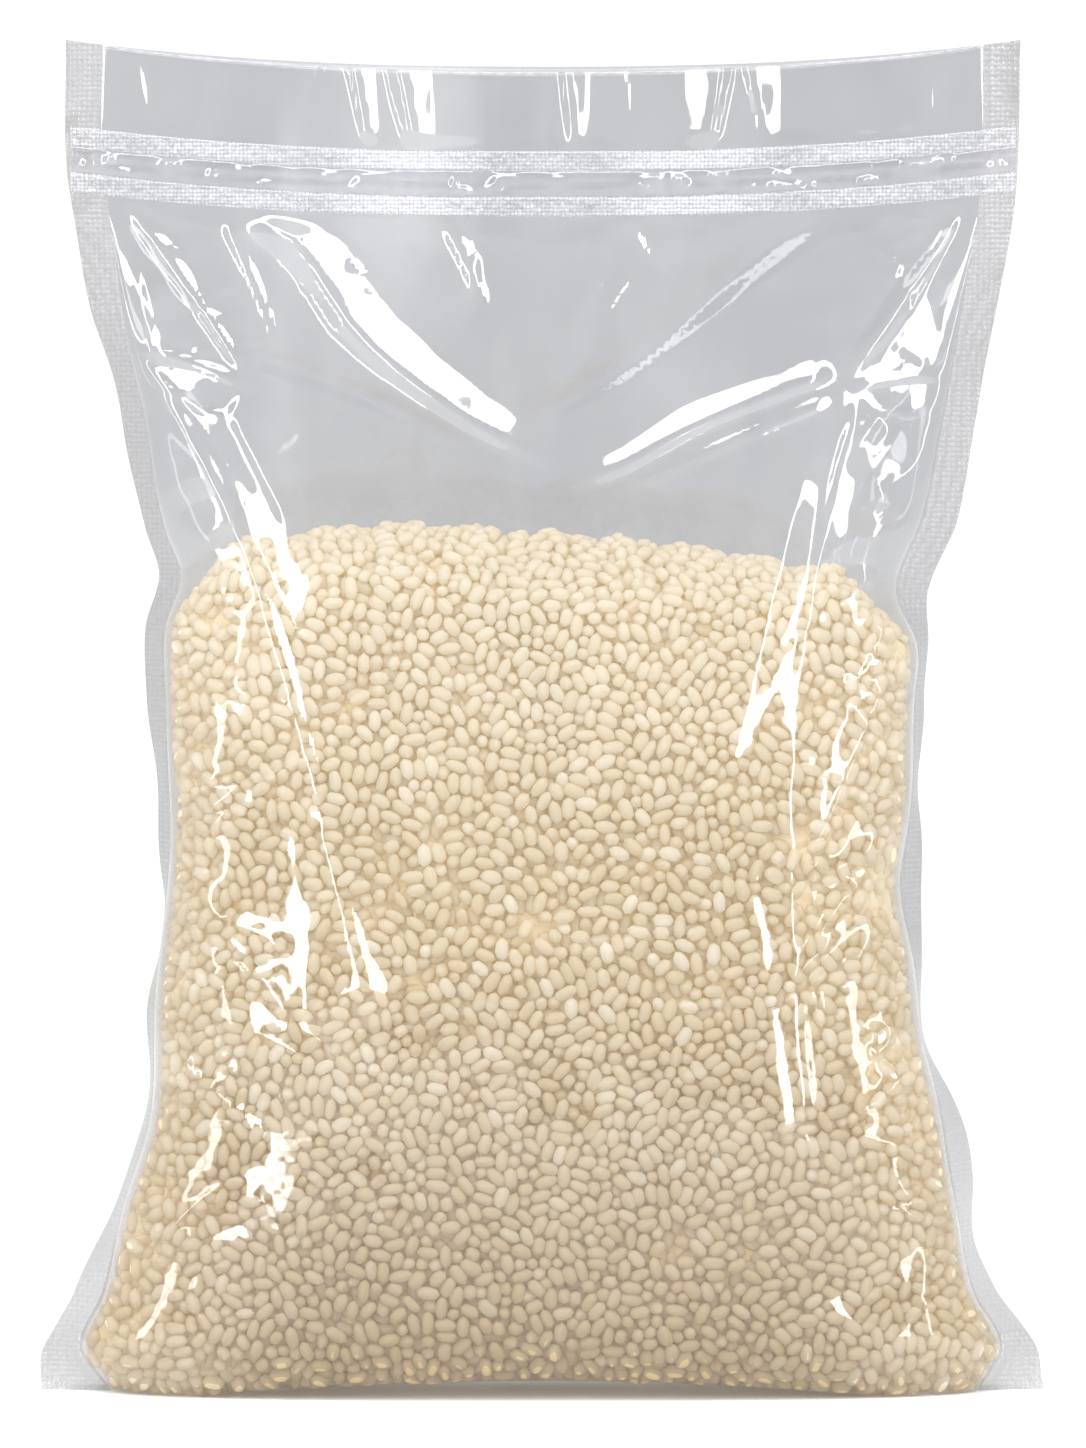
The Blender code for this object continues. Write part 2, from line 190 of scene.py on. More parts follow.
# How the open lips fold in and out: (x, distance towards the back) of the front and the back lip.
FRONT_LIP = (
    (-97, 0.0), (-84, 1.2), (-60, 1.6), (-30, 1.4), (0, 1.7), (30, 1.4), (60, 1.7), (84, 1.2),
    (97, 0.0),
)
BACK_LIP = (
    (-97, 0.0), (-66, 1.0), (-40, 2.4), (-20, 1.4), (4, 2.9), (22, 2.0), (44, 3.1), (66, 1.2),
    (97, 0.0),
)
# How the whole mouth, zip and all, bends in depth.
MOUTH_BEND = ((-97, 0.0), (-60, 0.3), (-30, -0.2), (0, 0.2), (32, -0.2), (62, 0.3), (97, 0.0))
# Points that bundles of fine creases run out from: (x, z), how many, and the directions in degrees
# they fan out over.
FANS = (
    ((-86, 216), 9, (-75, 50)), ((88, 209), 9, (130, 255)),
    ((-92, 247), 6, (-80, -20)), ((92, 247), 6, (200, 260)), ((-50, 249), 3, (-110, -50)),
    ((-10, 247), 2, (-120, -60)), ((24, 247), 3, (-130, -60)), ((60, 249), 5, (-120, -50)),
    ((-78, 172), 6, (-70, 60)), ((78, 170), 6, (120, 250)),
)

# ---- grains ------------------------------------------------------------------------------------
GRAIN_COUNT = 10500
GRAIN_RADIUS = 1.30 * MM       # of the three balls that stand for a grain while it is packed
GRAIN_OFFSET = 1.08 * MM       # from the middle ball to each end one
GRAIN_PROUD = 0.30 * MM        # how far the plumpest grains stand past their balls
SEAM_GAP = 1.4 * MM            # how far in from the side seams the grains are pushed
SHELL = 4.6 * MM               # depth of the layer of real grains under the film
RELAX_TURNS = 64
SEARCH_EVERY = 6               # turns between two searches for neighbours
# Kinds: share of the grains, length, width, thickness in millimetres, how blunt its ends are.
GRAIN_KINDS = {
    "plump": (0.27, 4.90, 2.95, 2.60, 2.3),
    "slim": (0.24, 5.25, 2.75, 2.45, 2.2),
    "short": (0.26, 4.45, 3.00, 2.65, 2.4),
    "chalky": (0.13, 4.80, 2.95, 2.60, 2.4),
    "broken": (0.10, 3.30, 2.80, 2.50, 3.2),
}
# painted glow: the grains give off a little warm light of their own
PAINTED_GLOW = 0.20              # stands in for the light that scatters inside milled grains
GRAIN_SIDES = 8
GRAIN_RINGS = 4
# Colours of each kind, dullest and brightest, and its roughness.
GRAIN_TONES = {
    "plump": ((0.80, 0.72, 0.53), (0.84, 0.78, 0.63), 0.48),
    "slim": ((0.79, 0.71, 0.52), (0.84, 0.77, 0.62), 0.46),
    "short": ((0.81, 0.73, 0.55), (0.85, 0.79, 0.65), 0.50),
    "chalky": ((0.85, 0.80, 0.67), (0.90, 0.87, 0.78), 0.55),
    "broken": ((0.80, 0.72, 0.54), (0.84, 0.78, 0.65), 0.52),
}

# ---- plastics and stage ------------------------------------------------------------------------
# Embossed plastics: how clear, how white, roughness, and the spacing and depth of the dots.
WELDED = {
    "welded_film": (0.44, 0.08, 0.24, 1.05 * MM, 0.00018),
    "zip_band": (0.80, 0.24, 0.30, 0.80 * MM, 0.00015),
    "zip_track": (0.92, 0.05, 0.06, 3.00 * MM, 0.00006),
    "film_lip": (0.90, 0.12, 0.20, 3.00 * MM, 0.00004),
}
ABOVE_RICE, ON_RICE = 0.185, 0.160    # heights between which the film comes to lie on the rice
SOFTBOXES = {
    # azimuth from the front and elevation in degrees, distance, width, height, radiance
    "left_strip": (-31, 24, 1.6, 0.23, 1.7, 9.0),
    "right_strip": (31, 24, 1.6, 0.23, 1.7, 9.0),
    "outer_left": (-60, 14, 1.6, 0.13, 1.1, 6.5),
    "outer_right": (60, 14, 1.6, 0.13, 1.1, 6.5),
    "front_fill": (0, 61, 1.9, 1.70, 0.50, 8.0),
    "overhead": (0, 86, 2.0, 2.2, 1.8, 1.0),
}
LIT_POINT = (0, 0, 0.14)
# The surround's strength near the horizon and overhead, and the steepness at which each starts.
LEVEL_STEEPNESS, HIGH_STEEPNESS = 0.12, 0.60
LEVEL_STRENGTH, HIGH_STRENGTH = 1.07, 0.62
FLOOR_HALF = 1.5
CAMERA_DISTANCE = 2.0
CAMERA_ELEVATION = 2.5
CAMERA_TARGET = 0.1386                # height the camera looks at
VIEW_HEIGHT = 0.300
SENSOR_HEIGHT = 24.0


# ---- helpers -----------------------------------------------------------------------------------
def through(keys, at):
    """A smooth curve through (place, value) keys, as a Hermite spline, held level beyond its ends."""
    place, value = np.array(keys, float).T
    slope = np.gradient(value, place)
    at = np.clip(np.asarray(at, float), place[0], place[-1])
    i = np.clip(np.searchsorted(place, at) - 1, 0, len(place) - 2)
    step = place[i + 1] - place[i]
    t = (at - place[i]) / step
    a, b = value[i], value[i + 1]
    return (
        a * (1 + 2 * t) * (1 - t) ** 2 + b * t * t * (3 - 2 * t)
        + step * (slope[i] * t * (1 - t) ** 2 - slope[i + 1] * t * t * (1 - t))
    )


def eased(value, start, end):
    """0 before start, 1 after end, and smooth between them."""
    t = np.clip((value - start) / (end - start), 0, 1)
    return t * t * (3 - 2 * t)


def seam_x(side, z):
    """x of the left (-1) or the right (1) seam at height z."""
    return side * through(LEFT_SEAM if side < 0 else RIGHT_SEAM, z)


def across(u, z):
    """x of the point a share u (-1 to 1) of the way across the pouch, at height z."""
    left, right = seam_x(-1, z), seam_x(1, z)
    return (left + right) / 2 + u * (right - left) / 2


def section(u):
    """Depth across the pouch as a share of the depth at its middle."""
    return np.sqrt(np.clip(1 - np.abs(u) ** BELLY_POWER, 0, 1))


def rolled_under(z):
    """Share of the full depth that is left at height z, where the body rolls under to its foot."""
    foot = FOOT_HALF_DEPTH / HALF_DEPTH[0][1]
    t = np.clip(1 - z / FOOT_ROUNDING, 0, 1)
    return foot + (1 - foot) * np.sqrt(1 - t * t)


def bulge(u, z):
    """Half the thickness of the smooth filled pouch."""
    return through(HALF_DEPTH, z) * section(u) * rolled_under(z)


def base_height(u):
    """How far the arch of the base is off the floor."""
    return BASE_ARCH * np.clip(1 - (np.abs(u) / FOOT_START) ** 2, 0, 1)


def lifted(u, z):
    """Height z once the arch of the base has lifted it."""
    return z + base_height(u) * np.clip(1 - z / (3 * FOOT_ROUNDING), 0, 1)


def sagged(x, z):
    """Height z once the mouth hangs between its corners."""
    share = np.clip(np.abs(x) / (seam_x(1, HEIGHT) + SEAL_WIDTH), 0, 1)
    return z - TOP_SAG * (1 - share ** SAG_POWER) * eased(z, HANG_START, HANG_END)


def mouth_bend(x, z):
    """How far the mouth stands back of the middle plane."""
    return MM * through(MOUTH_BEND, x / MM) * eased(z, BEND_START, BEND_END)


def crest(u):
    """Height of the uneven top of the heap along its middle."""
    x = across(u, CREST_LEVEL)
    return through(CREST, x) + 0.0005 * np.sin(410 * x + 1) + 0.0004 * np.sin(910 * x)


def dome_rise(u):
    """How far the heap's middle stands above its edge at the film."""
    return EDGE_RISE + (DOME_RISE - EDGE_RISE) * np.clip(1 - np.abs(u) ** 2, 0, 1) ** 0.75


def mesh_object(name, points, faces, material, node):
    """A smooth-shaded piece from arrays of points and faces, riding on the pouch."""
    mesh = bpy.data.meshes.new(name)
    corners = faces.shape[1]
    mesh.vertices.add(len(points))
    mesh.vertices.foreach_set("co", points.astype(np.float32).ravel())
    mesh.loops.add(faces.size)
    mesh.loops.foreach_set("vertex_index", faces.astype(np.int32).ravel())
    mesh.polygons.add(len(faces))
    mesh.polygons.foreach_set("loop_start", np.arange(0, faces.size, corners, dtype=np.int32))
    mesh.polygons.foreach_set("use_smooth", np.ones(len(faces), bool))
    mesh.update(calc_edges=True)
    mesh.validate()
    mesh.materials.append(material)
    piece = bpy.data.objects.new(name, mesh)
    bpy.context.scene.collection.objects.link(piece)
    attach(piece, "root")
    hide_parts(node)
    return piece


def grid_faces(rows, columns, flipped=False):
    """Quads of a grid of points that is stored row by row."""
    corner = (np.arange(rows - 1)[:, None] * columns + np.arange(columns - 1)).ravel()
    quad = np.stack([corner, corner + 1, corner + columns + 1, corner + columns], 1)
    return quad[:, ::-1] if flipped else quad


def sheet(name, x, y, z, flipped, material, node):
    """A piece from equal two-dimensional arrays of x, y and z."""
    points = np.stack([x, y, z], -1).reshape(-1, 3)
    return mesh_object(name, points, grid_faces(*x.shape, flipped), material, node)


# ---- film --------------------------------------------------------------------------------------
def smooth_route(route, count=14):
    """Points spaced evenly along a smooth curve through a crease's own points."""
    route = np.array(route, float)
    at = np.concatenate([[0], np.cumsum(np.hypot(*np.diff(route, axis=0).T))])
    place = np.linspace(0, at[-1], count)
    return np.stack([through(np.stack([at, route[:, k]], 1), place) for k in (0, 1)], 1)


def flank_slope(degrees, along):
    """Slope of a flank at a share of the way along its crease."""
    first, last = np.broadcast_to(degrees, 2)
    return np.tan(np.radians(first + (last - first) * along))


def crease_relief(x, z, crease):
    """How far one crease lifts the film, in millimetres, at x and z in millimetres."""
    route, start, end, left, right = crease
    line = smooth_route(route)
    gentlest = math.tan(math.radians(min(np.min(left), np.min(right))))
    reach = 2 + 1.5 * max(abs(start), abs(end)) / gentlest
    out = np.zeros(x.shape)
    near = (
        (x > line[:, 0].min() - reach) & (x < line[:, 0].max() + reach)
        & (z > line[:, 1].min() - reach) & (z < line[:, 1].max() + reach)
    )
    px, pz = x[near], z[near]
    best = np.full(px.shape, np.inf)
    along, side = np.zeros(px.shape), np.zeros(px.shape)
    for k, ((ax, az), (bx, bz)) in enumerate(zip(line, line[1:])):
        dx, dz = bx - ax, bz - az
        t = np.clip(((px - ax) * dx + (pz - az) * dz) / (dx * dx + dz * dz), 0, 1)
        ox, oz = px - ax - t * dx, pz - az - t * dz
        d = np.hypot(ox, oz)
        closer = d < best
        best = np.where(closer, d, best)
        along = np.where(closer, (k + t) / (len(line) - 1), along)
        side = np.where(closer, dx * oz - dz * ox, side)
    height = start + (end - start) * along
    fall = np.hypot(best, CREST_ROUNDING) - CREST_ROUNDING
    left_of = height - math.copysign(1, start) * flank_slope(left, along) * fall
    right_of = height - math.copysign(1, start) * flank_slope(right, along) * fall
    tent = np.where(side > 0, left_of, right_of) * math.copysign(1, start)
    tent = 0.5 * (tent + np.hypot(tent, 0.25)) - 0.12
    out[near] = np.clip(tent, 0, None) * eased(along, 0, 0.1) * eased(1 - along, 0, 0.2)
    return out * math.copysign(1, start)


def side_darts(face):
    """Short creases that run in from both seams, as seeded random ones of the same kind."""
    rng = np.random.default_rng(SEED + face)
    darts = []
    for side in (-1, 1):
        z = 14.0
        while z < 168:
            z += rng.uniform(5, 12)
            slope = math.radians(rng.uniform(-55, 45))
            length = rng.uniform(12, 30)
            x = side * (abs(float(seam_x(side, z * MM))) / MM - rng.uniform(1, 6))
            end = (x - side * length * math.cos(slope), z + length * math.sin(slope))
            middle = ((x + end[0]) / 2, (z + end[1]) / 2 + rng.uniform(-1.5, 1.5))
            upper, lower = rng.uniform(9, 26), rng.uniform(28, 36)
            flanks = (upper, lower) if side < 0 else (lower, upper)
            darts.append((((x, z), middle, end), rng.uniform(0.7, 1.4), 0.3, *flanks))
    return darts


def fan_creases(face):
    """Fine creases that run out from the points where the film is pinched."""
    rng = np.random.default_rng(SEED + 50 + face)
    fine = []
    for (x, z), count, (first, last) in FANS:
        for _ in range(count):
            angle = math.radians(rng.uniform(first, last))
            start, length = rng.uniform(3, 22), rng.uniform(9, 26)
            route = []
            for reach in (start, start + length / 2, start + length):
                bend = angle + 0.006 * rng.uniform(-1, 1) * reach
                route.append((x + reach * math.cos(bend), z + reach * math.sin(bend)))
            flanks = rng.permutation((rng.uniform(12, 20), rng.uniform(28, 38)))
            fine.append((tuple(route), rng.uniform(0.15, 0.45), 0.08, *flanks))
    return fine


def crinkles(face, x, z):
    """Shallow waves in every direction, in millimetres, stronger beside the side seams."""
    rng = np.random.default_rng(SEED + 90 + face)
    out = np.zeros(x.shape)
    beside = 1 + (3.0 - 2.0 * eased(z, 176, 196)) * eased(np.abs(x), 48, 78)
    for wavelength, height, count, grows in ((46, 0.16, 5, 0), (24, 0.07, 6, 1), (11, 0.022, 7, 1)):
        for _ in range(count):
            angle = rng.uniform(0, math.pi)
            bend = rng.uniform(0.3, 0.9)
            wander = x * rng.uniform(0.02, 0.05) + z * rng.uniform(0.02, 0.05)
            phase = (x * math.cos(angle) + z * math.sin(angle)) * 2 * math.pi / wavelength
            stretch, shift = rng.uniform(0.8, 1.2), rng.uniform(0, 6)
            wave = np.sin(phase * stretch + shift + bend * np.sin(wander))
            out += height * wave * (beside if grows else 1)
    return out


def loose_relief(face, x, z):
    """How far the slack film stands off the smooth body, in millimetres."""
    out = crinkles(face, x, z)
    creases = FRONT_CREASES if face < 0 else BACK_CREASES
    for crease in list(creases) + side_darts(face) + fan_creases(face):
        out += crease_relief(x, z, crease)
    return out


def film_sheet(face, name, columns, rows, material, edge):
    """One face of the pouch, from the fold under its base to its lips."""
    line = np.linspace(-1, 1, columns)
    u = 0.55 * line + 0.45 * np.sin(line * math.pi / 2)
    under = np.linspace(0, 1, 12)[:-1]
    roll = FOOT_ROUNDING * (1 - np.cos(np.linspace(0, math.pi / 2, 14)))[:-1]
    wall = np.linspace(FOOT_ROUNDING, HEIGHT, rows)
    z = np.concatenate([0 * under, roll, wall])[:, None]
    share = np.concatenate([under, np.ones(len(roll) + rows)])[:, None]
    u = u[None, :] + 0 * z
    x = across(u, z)
    up = sagged(x, lifted(u, z))
    flap = np.clip((z - ZIP_TOP) / (HEIGHT - ZIP_TOP), 0, 1)
    if face < 0:
        up = up - FRONT_LIP_DROP * flap * (1 - u * u)
    relief = MM * loose_relief(face, x / MM, up / MM)
    below = eased(ZIP_BOTTOM - z, 0, 0.006)
    above = eased(z - ZIP_TOP, 0, 0.004)
    held = eased(1 - np.abs(u), 0, 0.10) * (below + above)
    outside = 0.5 * (relief + np.hypot(relief, 0.25 * MM)) + GRAIN_PROUD
    full = eased(crest(u) + 0.012 - z, 0, 0.012)
    relief = relief + (outside - relief) * full
    out = bulge(u, z) * share + relief * held * eased(z, 0.002, 0.02)
    lip = FRONT_LIP if face < 0 else BACK_LIP
    lean = MM * through(lip, x / MM) * flap * eased(1 - np.abs(u), 0, 0.06)
    y = face * out + mouth_bend(x, z) + lean
    bead = np.linspace(0, 1, 5)[:, None]
    round_x, round_z = x[-1] + 0 * bead, up[-1] - LIP_BEAD * (1 - bead)
    round_y = y[-1] + face * 0.3 * LIP_BEAD * np.sin(math.pi * bead)
    sheet(name + "_lip", round_x, round_y, round_z, face > 0, edge, "pouch")
    return sheet(name, x, y, up, face > 0, material, "pouch")


# ---- seals -------------------------------------------------------------------------------------
def seal_sheet(side, name, material, rows=520, columns=14):
    """One welded side seal, turned back and slightly curled, with a rib beside the seam."""
    turns = LEFT_TURN if side < 0 else RIGHT_TURN
    z = np.linspace(0, HEIGHT, rows)[:, None]
    t = np.linspace(0, 1, columns)[None, :]
    wander = 4 * np.sin(z / 0.011 + side) + 3 * np.sin(z / 0.0047)
    turn = np.radians(through(turns, z) + wander * eased(0.245 - z, 0, 0.03))
    reach = SEAL_WIDTH + EAR_REACH * np.clip(1 - z / EAR_HEIGHT, 0, 1) ** 1.5
    curl = 0.5 * MM * np.sin(z / 0.0062 + 1.3 * side) * t * t
    rib = 0.22 * MM * np.exp(-((t - 0.08) / 0.06) ** 2)
    off = curl + rib
    x = seam_x(side, z) + side * (np.cos(turn) * t * reach + np.sin(turn) * -off)
    y = np.sin(turn) * t * reach - np.cos(turn) * off + mouth_bend(x, z)
    up = sagged(x, z + 0 * t)
    return sheet(name, x, y, up, side < 0, material, "pouch")


# ---- zip ---------------------------------------------------------------------------------------
def zip_strip(face, name, low, high, relief, material, rows, node, columns=560):
    """A strip of the zip between two heights, with relief(x, share of its height), in metres."""
    end = ZIP_HIGH.x - 0.0002
    x = np.linspace(-end, end, columns)[None, :]
    t = np.linspace(0, 1, rows)[:, None]
    z = low + (high - low) * t + 0 * x
    edge = np.minimum(eased(t, 0, 0.08), eased(1 - t, 0, 0.08))
    out = 0.9 * MM + 0.30 * MM * edge + relief(x, t) * edge
    y = face * out + mouth_bend(x, z)
    return sheet(name, x + 0 * z, y, sagged(x, z), face > 0, material, node)


def band_relief(x, t):
    """A raised rim along both edges of a weld band, and a slight unevenness."""
    rims = 0.16 * MM * (np.exp(-((t - 0.12) / 0.09) ** 2) + np.exp(-((t - 0.88) / 0.09) ** 2))
    return rims + 0.03 * MM * np.sin(x / (1.7 * MM)) * np.sin(x / (4.1 * MM) + 5 * t)


def track_relief(x, t):
    """Two low closing ribs with small pinches scattered along them."""
    ribs = 0.20 * MM * (np.exp(-((t - 0.28) / 0.12) ** 2) + np.exp(-((t - 0.72) / 0.12) ** 2))
    rng = np.random.default_rng(SEED + 7)
    lumps = 0.0 * x * t
    for place in rng.uniform(-0.095, 0.095, ZIP_PINCHES):
        wide = rng.uniform(0.8, 2.6) * MM
        high = rng.uniform(-0.6, 0.8) * MM
        middle = rng.uniform(0.2, 0.8)
        lean = rng.uniform(-1.5, 1.5) * MM * (t - 0.5)
        lumps = lumps + high * np.exp(-((x - place - lean) / wide) ** 2 - ((t - middle) / 0.22) ** 2)
    return ribs + lumps


def add_zip(face, name, bands, track):
    """The zip of one face: a weld band above and below, and the closing track between them."""
    upper, lower = ZIP_TOP - ZIP_BAND, ZIP_BOTTOM + ZIP_BAND
    zip_strip(face, name + "_upper_band", upper, ZIP_TOP, band_relief, bands, 10, name)
    zip_strip(face, name + "_lower_band", ZIP_BOTTOM, lower, band_relief, bands, 10, name)
    zip_strip(face, name + "_track", lower, upper, track_relief, track, 20, name)


# ---- rice --------------------------------------------------------------------------------------
def rice_field():
    """Rough distance to the rice's surface (negative inside) and its gradient, on a grid."""
    step = 1.5 * MM
    low = np.array([RICE_LOW.x, RICE_LOW.y, 0]) - 4 * MM
    high = np.array(RICE_HIGH) + 4 * MM
    axes = [np.arange(a, b, step) for a, b in zip(low, high)]
    x, y, z = np.meshgrid(*axes, indexing="ij")
    level = axes[2][None, None, :]
    left, right = seam_x(-1, level), seam_x(1, level)
    u = (x - (left + right) / 2) / ((right - left) / 2)
    inside = np.clip(u, -1, 1)
    flat_z = np.clip(z - base_height(inside) * np.clip(1 - z / (3 * FOOT_ROUNDING), 0, 1), 0, 1)
    depth = through(HALF_DEPTH, flat_z) * section(inside) * rolled_under(flat_z)
    side = np.abs(y) - depth + np.clip(np.abs(u) - 1, 0, 9) * (right - left) / 2
    share = np.clip((y + depth) / np.maximum(2 * depth, 1e-6), 0, 1)
    rise = dome_rise(inside)
    top = z - (crest(inside) - rise + rise * np.sin(math.pi * share) ** 0.8)
    seam = (np.abs(u) - 1) * (right - left) / 2 + SEAM_GAP
    field = np.maximum(np.maximum(side, top), np.maximum(base_height(inside) - z, seam))
    gradient = np.stack(np.gradient(field, step), -1)
    steepness = np.maximum(np.linalg.norm(gradient, axis=-1), 0.3)
    values = np.concatenate([(field / steepness)[..., None], gradient / steepness[..., None]], -1)
    return low, step, values


def sampled(field, points):
    """Distance and outward direction at points, read between the grid's own points."""
    low, step, values = field
    place = (points - low) / step
    cell = np.clip(np.floor(place).astype(int), 0, np.array(values.shape[:3]) - 2)
    t = np.clip(place - cell, 0, 1)
    total = 0
    for k in range(8):
        corner = np.array([k & 1, k >> 1 & 1, k >> 2 & 1])
        weight = np.prod(np.where(corner, t, 1 - t), axis=1)
        i, j, m = (cell + corner).T
        total = total + values[i, j, m] * weight[:, None]
    return total[:, 0], total[:, 1:]


def neighbour_pairs(balls, reach):
    """Pairs of balls of different grains that are closer than reach."""
    cells = np.floor((balls - balls.min(0)) / reach).astype(int) + 1
    size = cells.max(0) + 2
    key = (cells[:, 0] * size[1] + cells[:, 1]) * size[2] + cells[:, 2]
    order = np.argsort(key, kind="stable")
    rank = np.arange(len(key)) - np.searchsorted(key[order], key[order])
    room = 12
    table = np.full((size.prod(), room), -1)
    kept = rank < room
    table[key[order][kept], rank[kept]] = order[kept]
    found = []
    everyone = np.arange(len(balls))
    for dx in (-1, 0, 1):
        for dy in (-1, 0, 1):
            for dz in (-1, 0, 1):
                others = table[key + (dx * size[1] + dy) * size[2] + dz]
                for k in range(room):
                    other = others[:, k]
                    mine = np.nonzero((other > everyone) & (other // 3 != everyone // 3))[0]
                    mate = other[mine]
                    close = ((balls[mine] - balls[mate]) ** 2).sum(1) < reach * reach
                    found.append(np.stack([mine[close], mate[close]], 1))
    return np.concatenate(found)


def packed_grains(field, rng):
    """Places and axes of the grains, after a set number of turns of pushing them apart and inwards.

    The pushes are soft, so a few tips near the base and the seams end up just outside the film.
    """
    low, step, values = field
    depth = values[..., 0]
    room = np.argwhere((depth < -GRAIN_RADIUS) & (depth > -SHELL + 0.6 * GRAIN_RADIUS))
    pick = room[rng.integers(len(room), size=GRAIN_COUNT)]
    place = low + step * (pick + rng.uniform(-0.5, 0.5, pick.shape))
    axis = rng.normal(size=place.shape)
    _, outward = sampled(field, place)
    axis -= 0.8 * outward * (axis * outward).sum(1, keepdims=True)
    axis /= np.linalg.norm(axis, axis=1, keepdims=True)
    offsets = GRAIN_OFFSET * np.array([-1.0, 0.0, 1.0])
    reach = 2 * GRAIN_RADIUS
    for turn in range(RELAX_TURNS):
        balls = (place[:, None] + axis[:, None] * offsets[None, :, None]).reshape(-1, 3)
        if turn % SEARCH_EVERY == 0:
            a, b = neighbour_pairs(balls, reach * 1.35).T
        gap = balls[a] - balls[b]
        length = np.maximum(np.linalg.norm(gap, axis=1), 1e-7)
        push = gap * (np.maximum(reach - length, 0) / length * 0.42)[:, None]
        moved = np.stack([
            np.bincount(a, push[:, k], len(balls)) - np.bincount(b, push[:, k], len(balls))
            for k in range(3)
        ], 1)
        size = np.linalg.norm(moved, axis=1, keepdims=True)
        balls = balls + moved * np.minimum(1, 0.8 * MM / np.maximum(size, 1e-9))
        away, outward = sampled(field, balls)
        proud = np.maximum(away + GRAIN_RADIUS, 0)
        deep = np.maximum(-SHELL + GRAIN_RADIUS - away, 0) * 0.6
        balls = (balls + outward * (deep - proud)[:, None]).reshape(-1, 3, 3)
        place = balls.mean(1)
        axis = balls[:, 2] - balls[:, 0]
        axis /= np.linalg.norm(axis, axis=1, keepdims=True)
    return place, axis


def grain_shape(length, width, thickness, bluntness):
    """Points and triangles of one grain, along X, with its germ notch at one end."""
    ring = np.linspace(-1, 1, GRAIN_RINGS + 2)[1:-1]
    ring = np.sign(ring) * np.abs(ring) ** 0.85
    angle = 2 * math.pi * np.arange(GRAIN_SIDES) / GRAIN_SIDES
    radius = (1 - np.abs(ring) ** bluntness) ** 0.5
    s, a = ring[:, None], angle[None, :]
    r = radius[:, None] * (1 - 0.22 * np.clip(s, 0, 1) ** 2 * np.clip(np.cos(a), 0, 1))
    body = np.stack([
        s * length / 2 + 0 * a,
        r * np.cos(a) * width / 2 + 0.05 * width * s * s,
        r * np.sin(a) * thickness / 2,
    ], -1).reshape(-1, 3)
    tips = np.array([[-length / 2, 0.05 * width, 0], [length / 2, 0.02 * width, 0]])
    points = np.concatenate([body, tips]) * MM
    n, last = GRAIN_SIDES, len(body)
    faces = []
    for k in range(n):
        m = (k + 1) % n
        faces.append((last, m, k))
        faces.append((last + 1, (GRAIN_RINGS - 1) * n + k, (GRAIN_RINGS - 1) * n + m))
        for r in range(GRAIN_RINGS - 1):
            p, q = r * n, (r + 1) * n
            faces += [(p + k, p + m, q + m), (p + k, q + m, q + k)]
    return points, np.array(faces)


def add_grains(place, axis, rng, materials):
    """The loose grains, one piece for each kind."""
    spin = rng.normal(size=axis.shape)
    second = np.cross(axis, spin)
    second /= np.linalg.norm(second, axis=1, keepdims=True)
    third = np.cross(axis, second)
    size = rng.normal(1, 0.045, len(place)).clip(0.86, 1.12)
    turn = np.stack([axis, second, third], 2) * size[:, None, None]
    kinds = rng.choice(len(GRAIN_KINDS), len(place), p=[k[0] for k in GRAIN_KINDS.values()])
    for number, (kind, (_, *shape)) in enumerate(GRAIN_KINDS.items()):
        points, faces = grain_shape(*shape)
        chosen = np.nonzero(kinds == number)[0]
        verts = np.einsum("gij,pj->gpi", turn[chosen], points) + place[chosen][:, None]
        shift = np.arange(len(chosen))[:, None, None] * len(points)
        mesh_object(
            "grains_" + kind, verts.reshape(-1, 3), (faces[None] + shift).reshape(-1, 3),
            materials[kind], "rice",
        )


def add_core(field, material):
    """The inside of the heap: the rice's own shape, set back under the loose grains."""
    inset = SHELL - 1.2 * MM
    rows, columns, dome = 56, 90, 20
    u = np.sin(np.linspace(-1, 1, columns) * math.pi / 2) * 0.965
    loops = []
    for share in u:
        top = crest(share) - dome_rise(share)
        z = np.concatenate([
            FOOT_ROUNDING * (1 - np.cos(np.linspace(0, math.pi / 2, 12)))[:-1],
            np.linspace(FOOT_ROUNDING, top, rows),
        ])
        t = np.linspace(0, 1, dome + 1)[1:-1]
        depth = np.maximum(bulge(share, z) - inset, 0.2 * MM)
        high = top + dome_rise(share) * np.sin(math.pi * t) ** 0.8 - inset
        wall = np.maximum(lifted(share, z), base_height(share) + inset)
        wall = np.minimum(wall, top - inset * 0.4)
        y = np.concatenate([-depth, depth[-1] * (2 * t - 1), depth[::-1]])
        up = np.concatenate([wall, high, wall[::-1]])
        loops.append(np.stack([across(share, up), y, up], 1))
    points = np.array(loops)
    count = points.shape[1]
    lump = 0.35 * MM * np.sin(points[..., 0] / (1.1 * MM)) * np.sin(points[..., 2] / (1.3 * MM))
    points[..., 1] += lump * np.sign(points[..., 1])
    points = np.concatenate([points, points[:, :1]], 1)
    quads = grid_faces(columns, count + 1)
    row, column = quads // (count + 1), quads % (count + 1) % count
    faces = row * count + column
    half = np.arange(count // 2)
    for end, flip in ((0, False), (columns - 1, True)):
        k = half[:-1]
        cap = np.stack([k, k + 1, (count - 2 - k) % count, (count - 1 - k) % count], 1) + end * count
        faces = np.concatenate([faces, cap[:, ::-1] if flip else cap])
    mesh_object("rice_core", points[:, :count].reshape(-1, 3), faces, material, "rice")


